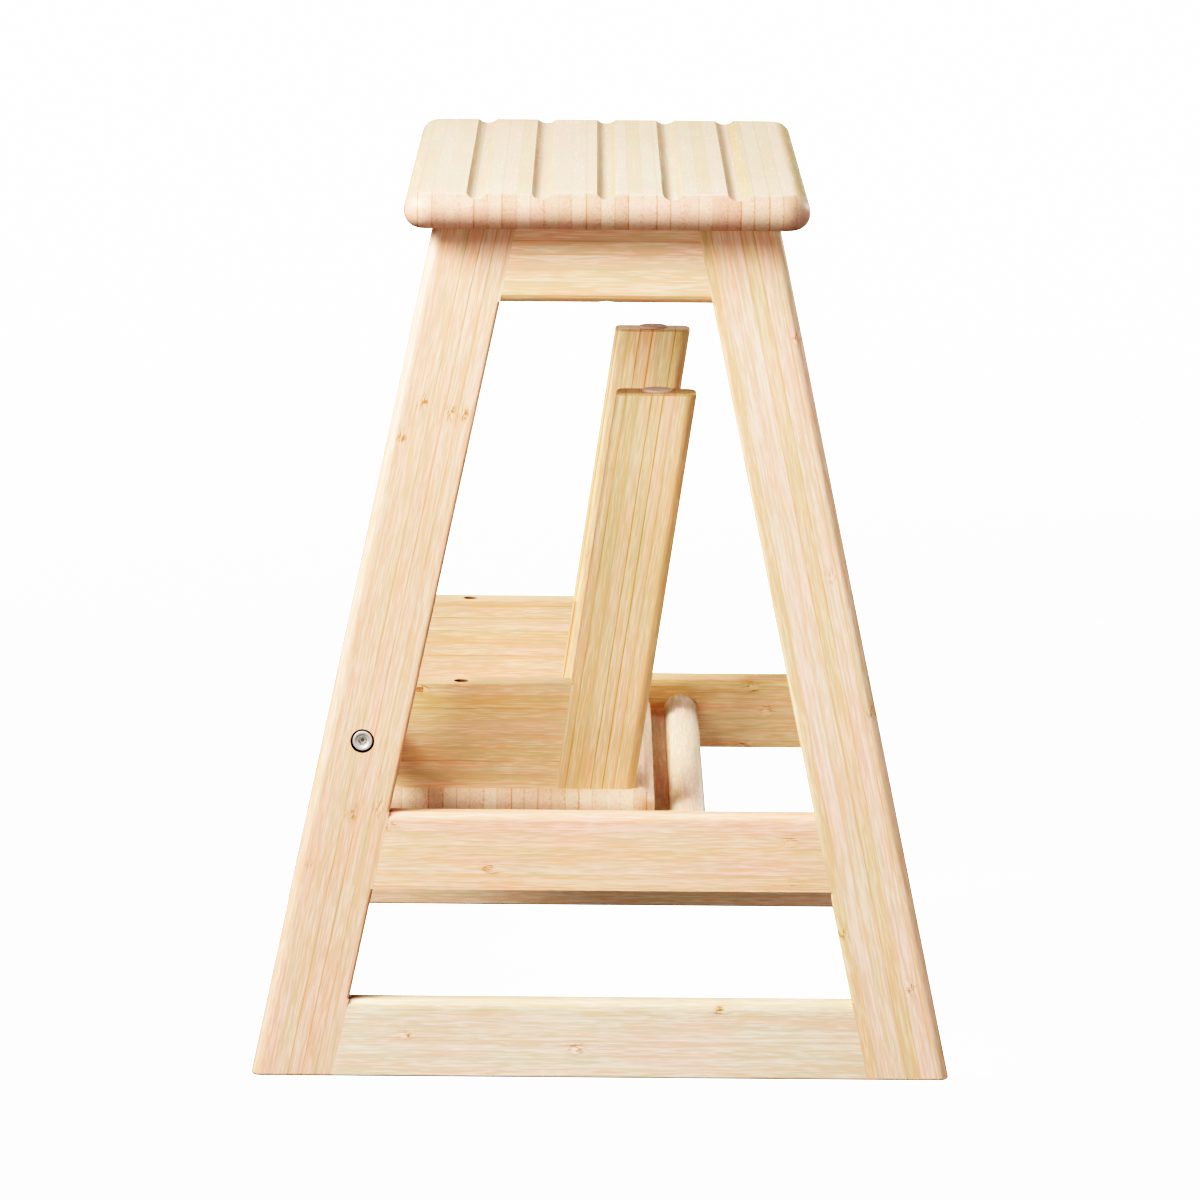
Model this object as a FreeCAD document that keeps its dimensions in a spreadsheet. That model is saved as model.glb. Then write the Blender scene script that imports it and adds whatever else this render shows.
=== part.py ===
import FreeCAD, Part
import math
import os
import Sketcher

# Folding two-step stool, millimetres, +Z up.
# Origin: centre of the footprint, on the floor.
# X runs along the seat (left frame at -X, right frame at +X), the front is -Y:
# the lower step is modelled folded, upside down between the two side frames,
# and swings out to -Y about the pivot line through the two front legs.

V = FreeCAD.Vector
doc = FreeCAD.newDocument("FoldingStepStool")
sheet = doc.addObject("Spreadsheet::Sheet", "Dims")

CELLS = [
    # overall
    ("total_height", 500.0), ("board_thick", 20.2), ("stock_thick", 20.0),
    # seat board
    ("seat_length", 389.0), ("seat_depth", 226.5), ("seat_corner", 14.0), ("edge_round", 9.8),
    ("groove_pitch", 36.3), ("groove_radius", 7.05), ("groove_depth", 2.9),
    # side frames: each one lies in a plane that leans in by the splay angle
    ("half_width_floor", 213.5), ("splay_angle", 5.0), ("half_spread", 198.0), ("leg_slope", 0.2095),
    ("leg_cut_width", 46.5), ("leg_round", 6.0), ("leg_inner_round", 1.8), ("foot_round", 1.4),
    ("bottom_rail_top", 44.4), ("mid_rail_low", 107.4), ("mid_rail_top", 151.2), ("top_rail_low", 439.3),
    ("rail_round", 5.0),
    # cross rails between the two middle rails
    ("stop_rail_front", 39.4), ("stop_rail_width", 21.0), ("stop_rail_top", 140.0), ("stop_rail_round", 10.3),
    ("cross_rail_low", 109.4), ("rest_rail_front", 9.4), ("rest_rail_top", 129.4),
    # pivot
    ("pivot_y", -135.2), ("pivot_z", 190.7), ("bolt_head_dia", 11.5), ("bolt_head_thick", 3.0),
    ("bolt_dia", 8.0), ("bolt_bore_dia", 13.0), ("bolt_recess", 3.9), ("spacer_dia", 18.0), ("running_gap", 0.3),
    # step unit (folded position)
    ("step_half_width", 135.0), ("step_rail_low", 150.2), ("step_rail_top", 211.1), ("step_rail_end", -154.7),
    ("step_leg_front", 18.9), ("step_leg_slope", 0.145), ("step_leg_cut_width", 45.6), ("step_leg_end", 380.1),
    ("step_leg_round", 6.0), ("step_leg_rear_round", 4.0),
    ("step_board_length", 290.0), ("step_board_front", 30.5), ("step_board_rear", -157.0), ("step_corner", 12.0),
    ("foot_pad_dia", 17.0), ("foot_pad_thick", 1.2),
    # fasteners
    ("dowel_dia", 8.0), ("dowel_length", 40.0), ("dowel_fit", 0.05), ("short_dowel_length", 22.0),
    ("screw_dia", 5.0), ("screw_head_dia", 9.5), ("screw_head_thick", 3.5), ("screw_bore_dia", 14.0),
    ("step_screw_bore_dia", 8.6), ("step_screw_head_dia", 7.8),
]
NUM = {}
for row, (name, value) in enumerate(CELLS, start=1):
    sheet.set("A%d" % row, name.replace("_", " "))
    sheet.set("B%d" % row, repr(value))
    sheet.setAlias("B%d" % row, name)
    NUM[name] = value
doc.recompute()


class Q:
    """A length that carries both its number and its spreadsheet expression."""

    def __init__(self, n, x):
        self.n = float(n)
        self.x = x

    @staticmethod
    def of(v):
        return v if isinstance(v, Q) else Q(v, repr(float(v)))

    def __add__(self, o):
        o = Q.of(o)
        return Q(self.n + o.n, "(%s + %s)" % (self.x, o.x))

    __radd__ = __add__

    def __sub__(self, o):
        o = Q.of(o)
        return Q(self.n - o.n, "(%s - %s)" % (self.x, o.x))

    def __rsub__(self, o):
        return Q.of(o) - self

    def __mul__(self, o):
        o = Q.of(o)
        return Q(self.n * o.n, "(%s * %s)" % (self.x, o.x))

    __rmul__ = __mul__

    def __truediv__(self, o):
        o = Q.of(o)
        return Q(self.n / o.n, "(%s / %s)" % (self.x, o.x))

    def __neg__(self):
        return Q(-self.n, "(-1 * %s)" % self.x)


def D(name):
    return Q(sheet.get(name), "Dims.%s" % name)


def tanq(a):
    return Q(math.tan(math.radians(a.n)), "tan(%s)" % a.x)


def cosq(a):
    return Q(math.cos(math.radians(a.n)), "cos(%s)" % a.x)


# ---------------------------------------------------------------- helpers
NODES = []


def new_body(label):
    body = doc.addObject("PartDesign::Body", label)
    body.Label = label
    NODES.append(body)
    return body


def plane_of(body, role):
    for feature in body.Origin.OriginFeatures:
        if feature.Role == role:
            return feature
    raise RuntimeError("no origin plane " + role)


def sketch_on(body, role, name, offset=None):
    sk = body.newObject("Sketcher::SketchObject", name)
    sk.AttachmentSupport = [(plane_of(body, role), "")]
    sk.MapMode = "FlatFace"
    if offset is not None:
        sk.AttachmentOffset = offset
    return sk


def add_loop(sk, pts):
    """Closed outline through points whose coordinates are bound to the sheet."""
    pts = [(Q.of(a), Q.of(b)) for a, b in pts]
    first = sk.GeometryCount
    count = len(pts)
    for i in range(count):
        a, b = pts[i], pts[(i + 1) % count]
        sk.addGeometry(Part.LineSegment(V(a[0].n, a[1].n, 0), V(b[0].n, b[1].n, 0)), False)
    for i in range(count):
        sk.addConstraint(Sketcher.Constraint("Coincident", first + i, 2, first + (i + 1) % count, 1))
    for i in range(count):
        for kind, q in (("DistanceX", pts[i][0]), ("DistanceY", pts[i][1])):
            k = sk.addConstraint(Sketcher.Constraint(kind, -1, 1, first + i, 1, q.n))
            if "Dims." in q.x:
                sk.setExpression("Constraints[%d]" % k, q.x)


def add_circle(sk, cx, cy, radius):
    cx, cy, radius = Q.of(cx), Q.of(cy), Q.of(radius)
    g = sk.addGeometry(Part.Circle(V(cx.n, cy.n, 0), V(0, 0, 1), radius.n), False)
    for kind, q in (("DistanceX", cx), ("DistanceY", cy)):
        k = sk.addConstraint(Sketcher.Constraint(kind, -1, 1, g, 3, q.n))
        if "Dims." in q.x:
            sk.setExpression("Constraints[%d]" % k, q.x)
    k = sk.addConstraint(Sketcher.Constraint("Radius", g, radius.n))
    if "Dims." in radius.x:
        sk.setExpression("Constraints[%d]" % k, radius.x)


def pad(body, sk, name, length, reverse=False, both=False):
    length = Q.of(length)
    f = body.newObject("PartDesign::Pad", name)
    f.Profile = sk
    f.Length = length.n
    f.Midplane = both
    f.Reversed = reverse
    if "Dims." in length.x:
        f.setExpression("Length", length.x)
    doc.recompute()
    return f


def cut_through(body, sk, name):
    before = body.Shape.Volume
    f = body.newObject("PartDesign::Pocket", name)
    f.Profile = sk
    f.Type = 1
    f.Midplane = True
    doc.recompute()
    if not body.Shape.Volume < before - 0.5:
        raise RuntimeError("%s cut nothing" % name)
    return f


def cut_depth(body, sk, name, depth, reverse=False):
    depth = Q.of(depth)
    before = body.Shape.Volume
    f = body.newObject("PartDesign::Pocket", name)
    f.Profile = sk
    f.Length = depth.n
    f.Reversed = reverse
    if "Dims." in depth.x:
        f.setExpression("Length", depth.x)
    doc.recompute()
    if not body.Shape.Volume < before - 0.5:
        raise RuntimeError("%s cut nothing" % name)
    return f


def fillet(body, name, radius, choose):
    radius = Q.of(radius)
    base = body.Tip
    names = ["Edge%d" % (i + 1) for i, e in enumerate(base.Shape.Edges) if choose(e)]
    if not names:
        raise RuntimeError("%s found no edge" % name)
    f = body.newObject("PartDesign::Fillet", name)
    f.Base = (base, names)
    f.Radius = radius.n
    if "Dims." in radius.x:
        f.setExpression("Radius", radius.x)
    doc.recompute()
    return f


def mid(edge):
    return edge.valueAt((edge.FirstParameter + edge.LastParameter) / 2.0)


def along(edge, axis, tol=1e-3):
    """True for a straight edge parallel to a local axis."""
    if edge.Curve.TypeId != "Part::GeomLine":
        return False
    d = edge.Curve.Direction
    return abs(abs(d.dot(axis)) - 1.0) < tol


def drill(body, name, point, direction, length, radius):
    """A round hole; point and direction are in the stool's own frame."""
    length, radius = Q.of(length), Q.of(radius)
    inv = body.Placement.inverse()
    p = inv.multVec(point)
    d = inv.Rotation.multVec(direction)
    before = body.Shape.Volume
    f = body.newObject("PartDesign::SubtractiveCylinder", name)
    f.Radius = radius.n
    f.Height = length.n
    if "Dims." in radius.x:
        f.setExpression("Radius", radius.x)
    if "Dims." in length.x:
        f.setExpression("Height", length.x)
    f.Placement = FreeCAD.Placement(p, FreeCAD.Rotation(V(0, 0, 1), d))
    doc.recompute()
    if not body.Shape.Volume < before - 0.5:
        raise RuntimeError("%s cut nothing" % name)
    return f


def rod(name, point, direction, length, radius):
    c = doc.addObject("Part::Cylinder", name)
    length, radius = Q.of(length), Q.of(radius)
    c.Radius = radius.n
    c.Height = length.n
    if "Dims." in radius.x:
        c.setExpression("Radius", radius.x)
    if "Dims." in length.x:
        c.setExpression("Height", length.x)
    c.Placement = FreeCAD.Placement(point, FreeCAD.Rotation(V(0, 0, 1), direction))
    return c


def group(label, items):
    g = doc.addObject("Part::Compound", label)
    g.Links = items
    g.Label = label
    NODES.append(g)
    doc.recompute()
    return g


# ---------------------------------------------------------------- derived numbers
alpha = D("splay_angle")
rad = math.radians(alpha.n)
sin_a, cos_a, tan_a = math.sin(rad), math.cos(rad), math.tan(rad)
tall = D("total_height")
thick = D("stock_thick")
under_seat = tall - D("board_thick")
half_floor = D("half_width_floor")

# Side frames are drawn flat: local X across the frame, local Y up its slope,
# local Z out of its outer face.  The left one is the right one turned half round.
right_frame = FreeCAD.Placement(FreeCAD.Matrix(
    0, -sin_a, cos_a, half_floor.n,
    1, 0, 0, 0,
    0, cos_a, sin_a, 0,
    0, 0, 0, 1))
left_frame = FreeCAD.Placement(V(0, 0, 0), FreeCAD.Rotation(V(0, 0, 1), 180)).multiply(right_frame)
FRAMES = {"right": right_frame, "left": left_frame}
SIGN = {"right": 1.0, "left": -1.0}


def outer_x(z):
    """Distance of a frame's outer face from the middle, at height z."""
    return half_floor.n - z * tan_a


def inner_x(z):
    return outer_x(z) - thick.n / cos_a


def across(w, inner=False):
    """Half distance across the frame at slope height w."""
    a = D("half_spread") - D("leg_slope") * w
    return a - D("leg_cut_width") if inner else a


def trim_flat(body, top):
    """Cut a leaning piece level with the floor, and with the seat's underside if it reaches it."""
    sk = sketch_on(body, "YZ_Plane", body.Name + "_floor_line")
    t = tanq(alpha)
    add_loop(sk, [(Q.of(-30.0), Q.of(6.0)), (t * -6.0, Q.of(6.0)), (t * (thick + 6.0), -(thick + 6.0)), (Q.of(-30.0), -(thick + 6.0))])
    cut_through(body, sk, body.Name + "_floor_cut")
    if top:
        trim_top(body)


def trim_top(body):
    sk = sketch_on(body, "YZ_Plane", body.Name + "_seat_line")
    c, t = cosq(alpha), tanq(alpha)
    base = under_seat / c
    add_loop(sk, [(base - t * 6.0, Q.of(6.0)), (Q.of(530.0), Q.of(6.0)), (Q.of(530.0), -(thick + 6.0)), (base + t * (thick + 6.0), -(thick + 6.0))])
    cut_through(body, sk, body.Name + "_seat_cut")


def on_floor(e):
    """True for an edge of a leaning piece's floor face, in its frame's flat coordinates."""
    pts = [e.valueAt(e.FirstParameter), mid(e), e.valueAt(e.LastParameter)]
    return all(abs(p.y * cos_a + p.z * sin_a) < 1e-3 for p in pts)


DOWEL_R = D("dowel_dia") / 2.0
DOWEL_HOLE_R = DOWEL_R + D("dowel_fit")


def frame_dowel_points(side):
    """Centres of the dowels between legs and rails, with their direction, in the stool's frame."""
    pts = []
    place = FRAMES[side]
    for lo, hi in ((6.0, D("bottom_rail_top").n), (D("mid_rail_low").n, D("mid_rail_top").n), (D("top_rail_low").n, 480.0)):
        for dw in (-10.0, 10.0):
            w = (lo + hi) / 2.0 + dw
            u = across(Q.of(w), inner=True).n
            for s in (-1.0, 1.0):
                pts.append((place.multVec(V(s * u, w, -thick.n / 2.0)), place.Rotation.multVec(V(s, 0, 0)), s))
    return pts


DOWEL_POINTS = dict((side, frame_dowel_points(side)) for side in FRAMES)
pivot = {}
for side in FRAMES:
    pivot[side] = V(SIGN[side] * outer_x(D("pivot_z").n), D("pivot_y").n, D("pivot_z").n)


# ---------------------------------------------------------------- side frame legs
def make_leg(side, end):
    label = "%s_%s_leg" % (side, end)
    body = new_body(label)
    body.Placement = FRAMES[side]
    # the front is -Y, which is local -X on the right and local +X on the left
    s = -1.0 if (end == "front") == (side == "right") else 1.0
    lo, hi = Q.of(-5.0), Q.of(489.0)
    sk = sketch_on(body, "XY_Plane", label + "_outline")
    add_loop(sk, [(across(lo) * s, lo), (across(hi) * s, hi), (across(hi, True) * s, hi), (across(lo, True) * s, lo)])
    pad(body, sk, label + "_board", thick, reverse=True)

    def long_edge(e, inner):
        if e.Length < 300 or e.Curve.TypeId != "Part::GeomLine":
            return False
        m = mid(e)
        a = across(Q.of(m.y), inner).n
        return abs(abs(m.x) - a) < 0.5
    fillet(body, label + "_outer_round", D("leg_round"), lambda e: long_edge(e, False))
    fillet(body, label + "_inner_round", D("leg_inner_round"), lambda e: long_edge(e, True))
    # where a rail meets the leg the corner stays square
    sk = sketch_on(body, "XY_Plane", label + "_joint_seats")
    wide = D("leg_inner_round") + 0.8
    for low, high in ((lo, D("bottom_rail_top")), (D("mid_rail_low"), D("mid_rail_top")), (D("top_rail_low"), hi)):
        add_loop(sk, [(across(low, True) * s, low), (across(high, True) * s, high), ((across(high, True) + wide) * s, high), ((across(low, True) + wide) * s, low)])
    pad(body, sk, label + "_joint_corners", thick, reverse=True)
    trim_flat(body, True)
    # the foot's edges are eased, but not where the bottom rail meets it
    fillet(body, label + "_foot_round", D("foot_round"), lambda e: on_floor(e) and abs(mid(e).x) > across(Q.of(mid(e).y), True).n + 0.1)
    for i, (p, d, sd) in enumerate(DOWEL_POINTS[side]):
        if sd == s:
            drill(body, "%s_dowel_hole_%d" % (label, i), p - d * 2.5, d, D("dowel_length") / 2.0 + 3.0, DOWEL_HOLE_R)
    y = (-1.0 if end == "front" else 1.0) * 84.0
    z0 = under_seat.n
    x = SIGN[side] * (outer_x(z0) - thick.n / cos_a / 2.0)
    drill(body, label + "_seat_dowel_hole", V(x, y, z0 + 1.0), V(0, 0, -1), D("short_dowel_length") / 2.0 + 2.0, DOWEL_HOLE_R)
    if end == "front":
        c = pivot[side]
        inward = V(-SIGN[side], 0, 0)
        drill(body, label + "_bolt_recess", c - inward * 4.0, inward, Q.of(4.0) + D("bolt_recess"), D("bolt_bore_dia") / 2.0)
        drill(body, label + "_bolt_hole", c - inward * 2.0, inward, thick + 8.0, D("bolt_dia") / 2.0 + 0.1)
        q = V(SIGN[side] * (inner_x(c.z) + 1.5), c.y, c.z)
        drill(body, label + "_spacer_seat", q, inward, Q.of(6.0), D("spacer_dia") / 2.0 + 0.1)
    return body


# ---------------------------------------------------------------- side frame rails
def make_rail(side, which):
    label = "%s_%s_rail" % (side, which)
    body = new_body(label)
    body.Placement = FRAMES[side]
    lo, hi = {"bottom": (Q.of(-5.0), D("bottom_rail_top")), "middle": (D("mid_rail_low"), D("mid_rail_top")),
              "top": (D("top_rail_low"), Q.of(489.0))}[which]
    sk = sketch_on(body, "XY_Plane", label + "_outline")
    add_loop(sk, [(-across(lo, True), lo), (across(lo, True), lo), (across(hi, True), hi), (-across(hi, True), hi)])
    pad(body, sk, label + "_board", thick, reverse=True)
    if which == "bottom":
        trim_flat(body, False)
    if which == "top":
        trim_top(body)
    edge_w = lo.n if which == "top" else hi.n
    fillet(body, label + "_round", D("rail_round"), lambda e: along(e, V(1, 0, 0)) and e.Length > 60 and abs(mid(e).y - edge_w) < 0.01)
    if which == "bottom":
        fillet(body, label + "_foot_round", D("foot_round"), lambda e: on_floor(e) and along(e, V(1, 0, 0)) and e.Length > 60)
    for i, (p, d, sd) in enumerate(DOWEL_POINTS[side]):
        w = FRAMES[side].inverse().multVec(p).y
        if lo.n < w < hi.n:
            drill(body, "%s_dowel_hole_%d" % (label, i), p + d * 2.5, d * -1.0, D("dowel_length") / 2.0 + 3.0, DOWEL_HOLE_R)
    if which == "top":
        x = SIGN[side] * SCREW_X
        low = D("top_rail_low").n * cos_a - 12.0
        drill(body, label + "_screw_bore", V(x, 0, low), V(0, 0, 1), Q.of(SCREW_SEAT_Z - low), D("screw_bore_dia") / 2.0)
        drill(body, label + "_screw_hole", V(x, 0, low), V(0, 0, 1), Q.of(80.0), D("screw_dia") / 2.0 + 0.2)
    if which == "middle":
        for p, d, sd in CROSS_DOWELS:
            if sd == SIGN[side]:
                drill(body, "%s_cross_hole_%d" % (label, len(body.Group)), p - d * 2.0, d, Q.of(14.2), DOWEL_HOLE_R)
    return body


# seat screws stand upright in the top rails, nearer the outer face
SCREW_X = outer_x(D("top_rail_low").n * cos_a) - 9.6
SCREW_SEAT_Z = 455.0

# dowels at the ends of the cross rails, along X
CROSS_DOWELS = []
for sx in (-1.0, 1.0):
    for y, z in ((49.9, 116.5), (49.9, 129.5), (17.0, 119.4), (32.0, 119.4)):
        CROSS_DOWELS.append((V(sx * inner_x(z), y, z), V(sx, 0, 0), sx))

for side in ("right", "left"):
    for end in ("front", "rear"):
        make_leg(side, end)
    for which in ("bottom", "middle", "top"):
        make_rail(side, which)
    group("%s_frame_dowels" % side, [
        rod("%s_frame_dowel_%d" % (side, i), p - d * (D("dowel_length").n / 2.0), d, D("dowel_length"), DOWEL_R)
        for i, (p, d, sd) in enumerate(DOWEL_POINTS[side])])


# ---------------------------------------------------------------- grooved boards
def make_board(label, length, y_low, y_high, z_low, corner, grooves, face_up):
    """A rounded board with shallow round-bottomed grooves that run along X."""
    body = new_body(label)
    body.Placement = FreeCAD.Placement(V(0, 0, z_low.n), FreeCAD.Rotation())
    body.setExpression(".Placement.Base.z", z_low.x)
    t = D("board_thick")
    half = length / 2.0
    sk = sketch_on(body, "XY_Plane", label + "_outline")
    add_loop(sk, [(-half, y_low), (half, y_low), (half, y_high), (-half, y_high)])
    pad(body, sk, label + "_blank", t)
    fillet(body, label + "_corners", corner, lambda e: along(e, V(0, 0, 1)))
    fillet(body, label + "_edge_round", D("edge_round"), lambda e: abs(e.BoundBox.ZMax - e.BoundBox.ZMin) < 1e-6)
    sk = sketch_on(body, "YZ_Plane", label + "_groove_lines")
    r, d = D("groove_radius"), D("groove_depth")
    centre = (t - d + r) if face_up else (d - r)
    middle = (y_low + y_high) / 2.0
    for i in range(grooves):
        add_circle(sk, middle + D("groove_pitch") * (i - (grooves - 1) / 2.0), centre, r)
    cut_through(body, sk, label + "_grooves")
    return body


seat = make_board("seat_board", D("seat_length"), D("seat_depth") / -2.0, D("seat_depth") / 2.0, under_seat, D("seat_corner"), 5, True)
SEAT_DOWELS = []
for sx in (-1.0, 1.0):
    for sy in (-1.0, 1.0):
        x = sx * (outer_x(under_seat.n) - thick.n / cos_a / 2.0)
        SEAT_DOWELS.append(V(x, sy * 84.0, under_seat.n))
for i, p in enumerate(SEAT_DOWELS):
    drill(seat, "seat_dowel_hole_%d" % i, p - V(0, 0, 1), V(0, 0, 1), D("short_dowel_length") / 2.0 + 1.2, DOWEL_HOLE_R)
for i, sx in enumerate((-1.0, 1.0)):
    drill(seat, "seat_screw_hole_%d" % i, V(sx * SCREW_X, 0, under_seat.n - 1.0), V(0, 0, 1), Q.of(11.5), D("screw_dia") / 2.0 + 0.05)
group("seat_dowels", [
    rod("seat_dowel_%d" % i, p - V(0, 0, D("short_dowel_length").n / 2.0), V(0, 0, 1), D("short_dowel_length"), DOWEL_R)
    for i, p in enumerate(SEAT_DOWELS)])


# ---------------------------------------------------------------- wood screws
def make_screw(name, head_point, direction, length, head_dia):
    """Cylinder-head wood screw; head_point is the middle of the bearing face under the head."""
    length = Q.of(length)
    back = direction * -1.0
    head = rod(name + "_head", head_point, back, D("screw_head_thick"), head_dia / 2.0)
    shank = rod(name + "_shank", head_point - direction * 0.5, direction, length - 5.5, D("screw_dia") / 2.0)
    tip = doc.addObject("Part::Cone", name + "_tip")
    tip.Radius1 = D("screw_dia").n / 2.0
    tip.setExpression("Radius1", "Dims.screw_dia / 2")
    tip.Radius2 = 0.6
    tip.Height = 6.0
    tip.Placement = FreeCAD.Placement(head_point + direction * (length.n - 6.0), FreeCAD.Rotation(V(0, 0, 1), direction))
    solid = doc.addObject("Part::MultiFuse", name + "_blank")
    solid.Shapes = [head, shank, tip]
    hexa = doc.addObject("Part::Prism", name + "_socket_tool")
    hexa.Polygon = 6
    hexa.Circumradius = 2.3
    hexa.Height = 3.0
    hexa.Placement = FreeCAD.Placement(head_point + back * (D("screw_head_thick").n - 2.2), FreeCAD.Rotation(V(0, 0, 1), back))
    cut = doc.addObject("Part::Cut", name)
    cut.Base = solid
    cut.Tool = hexa
    return cut


group("seat_screws", [make_screw("seat_screw_%d" % i, V(sx * SCREW_X, 0, SCREW_SEAT_Z), V(0, 0, 1), 34.0, D("screw_head_dia")) for i, sx in enumerate((-1.0, 1.0))])


# ---------------------------------------------------------------- cross rails
def trim_ends(body):
    """Cut both ends to the lean of the middle rails' inner faces."""
    sk = sketch_on(body, "XZ_Plane", body.Name + "_end_lines")
    t = tanq(alpha)
    reach = half_floor - thick / cosq(alpha)
    for s in (-1.0, 1.0):
        a, b = Q.of(80.0), Q.of(160.0)
        add_loop(sk, [((reach - t * a) * s, a), (Q.of(260.0) * s, a), (Q.of(260.0) * s, b), ((reach - t * b) * s, b)])
    cut_through(body, sk, body.Name + "_end_cuts")


def make_cross_rail(label, y_low, y_high, z_low, z_high):
    body = new_body(label)
    sk = sketch_on(body, "YZ_Plane", label + "_section")
    add_loop(sk, [(y_low, z_low), (y_high, z_low), (y_high, z_high), (y_low, z_high)])
    pad(body, sk, label + "_bar", Q.of(440.0), both=True)
    return body


stop = make_cross_rail("rear_cross_rail", D("stop_rail_front"), D("stop_rail_front") + D("stop_rail_width"), D("cross_rail_low"), D("stop_rail_top"))
fillet(stop, "rear_cross_rail_round", D("stop_rail_round"), lambda e: along(e, V(1, 0, 0)) and mid(e).z > 139.0)
trim_ends(stop)
rest = make_cross_rail("step_rest_rail", D("rest_rail_front"), D("stop_rail_front"), D("cross_rail_low"), D("rest_rail_top"))
fillet(rest, "step_rest_rail_round", Q.of(2.0), lambda e: along(e, V(1, 0, 0)) and mid(e).z > 129.0 and mid(e).y < 20.0)
trim_ends(rest)
for i, (p, d, sx) in enumerate(CROSS_DOWELS):
    target = stop if p.y > D("stop_rail_front").n else rest
    drill(target, "cross_dowel_hole_%d" % i, p + d * 2.0, d * -1.0, Q.of(23.0), DOWEL_HOLE_R)
group("cross_rail_dowels", [rod("cross_dowel_%d" % i, p + d * 11.5, d * -1.0, Q.of(31.5), DOWEL_R) for i, (p, d, sx) in enumerate(CROSS_DOWELS)])


# ---------------------------------------------------------------- pivots
HEAD_FACE_INSET = 0.55
bearing = D("step_half_width")          # outer face of the step's side rails
NUT_DEPTH = 7.4
for side in ("right", "left"):
    sx = SIGN[side]
    c = pivot[side]
    face_x = outer_x(c.z) - HEAD_FACE_INSET
    inner_rail_x = bearing.n - thick.n
    shank_len = face_x - (inner_rail_x + 0.4)
    # bolt: revolved about its own axis, local Z points inward from the head's face
    label = "%s_pivot_bolt" % side
    body = new_body(label)
    body.Placement = FreeCAD.Placement(V(sx * face_x, c.y, c.z), FreeCAD.Rotation(V(0, 0, 1), V(-sx, 0, 0)))
    hr, ht, br = D("bolt_head_dia") / 2.0, D("bolt_head_thick"), D("bolt_dia") / 2.0
    sk = sketch_on(body, "XZ_Plane", label + "_profile")
    # dished head: a narrow flat rim round a cone that falls to the socket
    add_loop(sk, [(Q.of(0.0), Q.of(0.75)), (hr * 0.5, Q.of(0.75)), (hr * 0.74, Q.of(0.0)), (hr - 0.6, Q.of(0.0)), (hr - 0.15, Q.of(0.2)), (hr, Q.of(0.65)),
                  (hr, ht), (br, ht), (br, Q.of(shank_len - 0.8)), (br - 0.8, Q.of(shank_len)), (Q.of(0.0), Q.of(shank_len))])
    rev = body.newObject("PartDesign::Revolution", label + "_turned")
    rev.Profile = sk
    rev.ReferenceAxis = (sk, ["V_Axis"])
    rev.Angle = 360.0
    doc.recompute()
    sk = sketch_on(body, "XY_Plane", label + "_socket_outline")
    add_loop(sk, [(Q.of(2.6 * math.cos(math.radians(60 * i + 20))), Q.of(2.6 * math.sin(math.radians(60 * i + 20)))) for i in range(6)])
    cut_depth(body, sk, label + "_socket", Q.of(2.6), reverse=True)
    # spacer tube between the leaning leg and the upright side rail
    label = "%s_pivot_spacer" % side
    body = new_body(label)
    start = inner_x(c.z) + 1.5
    body.Placement = FreeCAD.Placement(V(sx * start, c.y, c.z), FreeCAD.Rotation(V(0, 0, 1), V(-sx, 0, 0)))
    length = Q.of(start) - bearing - D("running_gap") - 1.2
    sk = sketch_on(body, "XY_Plane", label + "_ring")
    add_circle(sk, 0.0, 0.0, D("spacer_dia") / 2.0)
    add_circle(sk, 0.0, 0.0, D("bolt_dia") / 2.0 + 0.08)
    pad(body, sk, label + "_tube", length)


def ring(name, x, sx, thickness, outer, inner):
    """Flat ring on the pivot line, from x inward."""
    a = rod(name + "_disc", V(sx * x, D("pivot_y").n, D("pivot_z").n), V(-sx, 0, 0), thickness, outer)
    b = rod(name + "_hole", V(sx * (x + 1.0), D("pivot_y").n, D("pivot_z").n), V(-sx, 0, 0), Q.of(thickness) + 2.0 if not isinstance(thickness, Q) else thickness + 2.0, inner)
    cut = doc.addObject("Part::Cut", name)
    cut.Base = a
    cut.Tool = b
    return cut


items = []
for side in ("right", "left"):
    sx = SIGN[side]
    items.append(ring("outer_washer_" + side, bearing.n + D("running_gap").n + 1.2, sx, Q.of(1.2), D("spacer_dia") / 2.0, D("bolt_dia") / 2.0 + 0.08))
    items.append(ring("inner_washer_" + side, bearing.n - thick.n + NUT_DEPTH - D("running_gap").n, sx, Q.of(1.0), Q.of(7.6), D("bolt_dia") / 2.0 + 0.08))
group("pivot_washers", items)

items = []
for side in ("right", "left"):
    sx = SIGN[side]
    x = bearing.n - thick.n + NUT_DEPTH - D("running_gap").n - 1.0
    prism = doc.addObject("Part::Prism", "pivot_nut_blank_" + side)
    prism.Polygon = 6
    prism.Circumradius = 7.5
    prism.Height = 5.4
    prism.Placement = FreeCAD.Placement(V(sx * x, D("pivot_y").n, D("pivot_z").n), FreeCAD.Rotation(V(0, 0, 1), V(-sx, 0, 0)))
    hole = rod("pivot_nut_thread_" + side, V(sx * (x + 1.0), D("pivot_y").n, D("pivot_z").n), V(-sx, 0, 0), Q.of(8.0), D("bolt_dia") / 2.0 + 0.05)
    nut = doc.addObject("Part::Cut", "pivot_nut_" + side)
    nut.Base = prism
    nut.Tool = hole
    items.append(nut)
group("pivot_lock_nuts", items)

# ---------------------------------------------------------------- folding step
board_low = D("step_rail_low") - D("board_thick")
step_board = make_board("step_board", D("step_board_length"), D("step_board_rear"), D("step_board_front"), board_low, D("step_corner"), 4, False)

rail_mid_x = bearing.n - thick.n / 2.0
SCREW_Y = -81.1
BOARD_DOWELS = [V(sx * rail_mid_x, y, D("step_rail_low").n) for sx in (-1.0, 1.0) for y in (-118.0, -45.0, -4.0)]


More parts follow.
